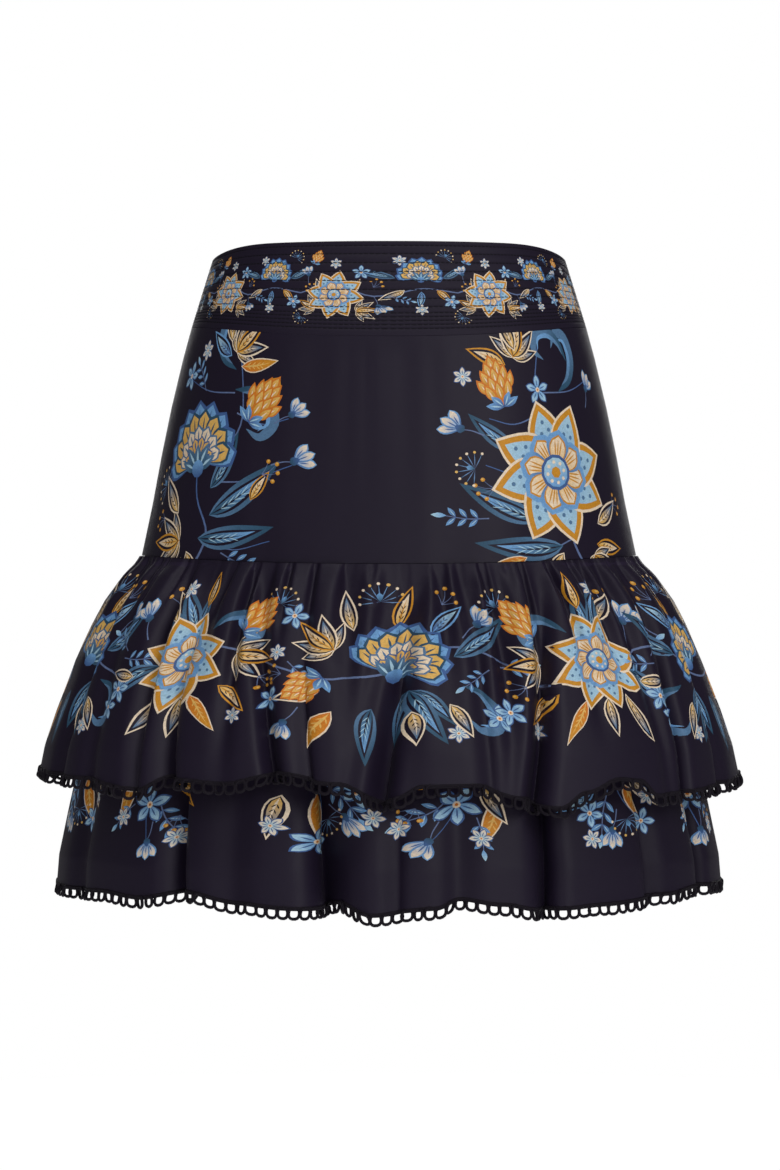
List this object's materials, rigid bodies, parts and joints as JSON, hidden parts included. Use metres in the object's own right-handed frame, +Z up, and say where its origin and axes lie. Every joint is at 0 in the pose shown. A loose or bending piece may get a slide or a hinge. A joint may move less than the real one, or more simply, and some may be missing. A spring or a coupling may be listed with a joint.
{
  "type": "miniskirt",
  "caption": "Hollow A-line miniskirt with a shaped waistband, a smooth yoke and gathered ruffle tiers edged with loop trim, held at the waist.",
  "frame": {"origin": "middle of the waist, level with the top edge of the waistband at the middle of the front", "axes": "+Z up along the waist's axis, +X towards the wearer's left side seam, -Y out of the front"},
  "size_m": [0.4771, 0.3672, 0.443],
  "materials": {
    "printed_cloth": "fine plain weave with a soft sheen, printed with flowers",
    "waistband_cloth": "fine plain weave, close rows of topstitching, printed garland",
    "loop_cord": "matt wrapped cord in loops",
    "zip_tape": "matt woven tape with a closed coil",
    "zip_metal": "dark enamel"
  },
  "bodies": {
    "root": {"waistband_front": "waistband_cloth", "waistband_back": "waistband_cloth", "yoke_front": "printed_cloth", "yoke_back": "printed_cloth", "upper_ruffle_front": "printed_cloth", "upper_ruffle_back": "printed_cloth", "lower_ruffle_front": "printed_cloth", "lower_ruffle_back": "printed_cloth", "upper_loop_trim_front": "loop_cord", "upper_loop_trim_back": "loop_cord", "lower_loop_trim_front": "loop_cord", "lower_loop_trim_back": "loop_cord", "side_zip": "zip_tape", "zip_slider": "zip_metal"}
  },
  "joints": []
}
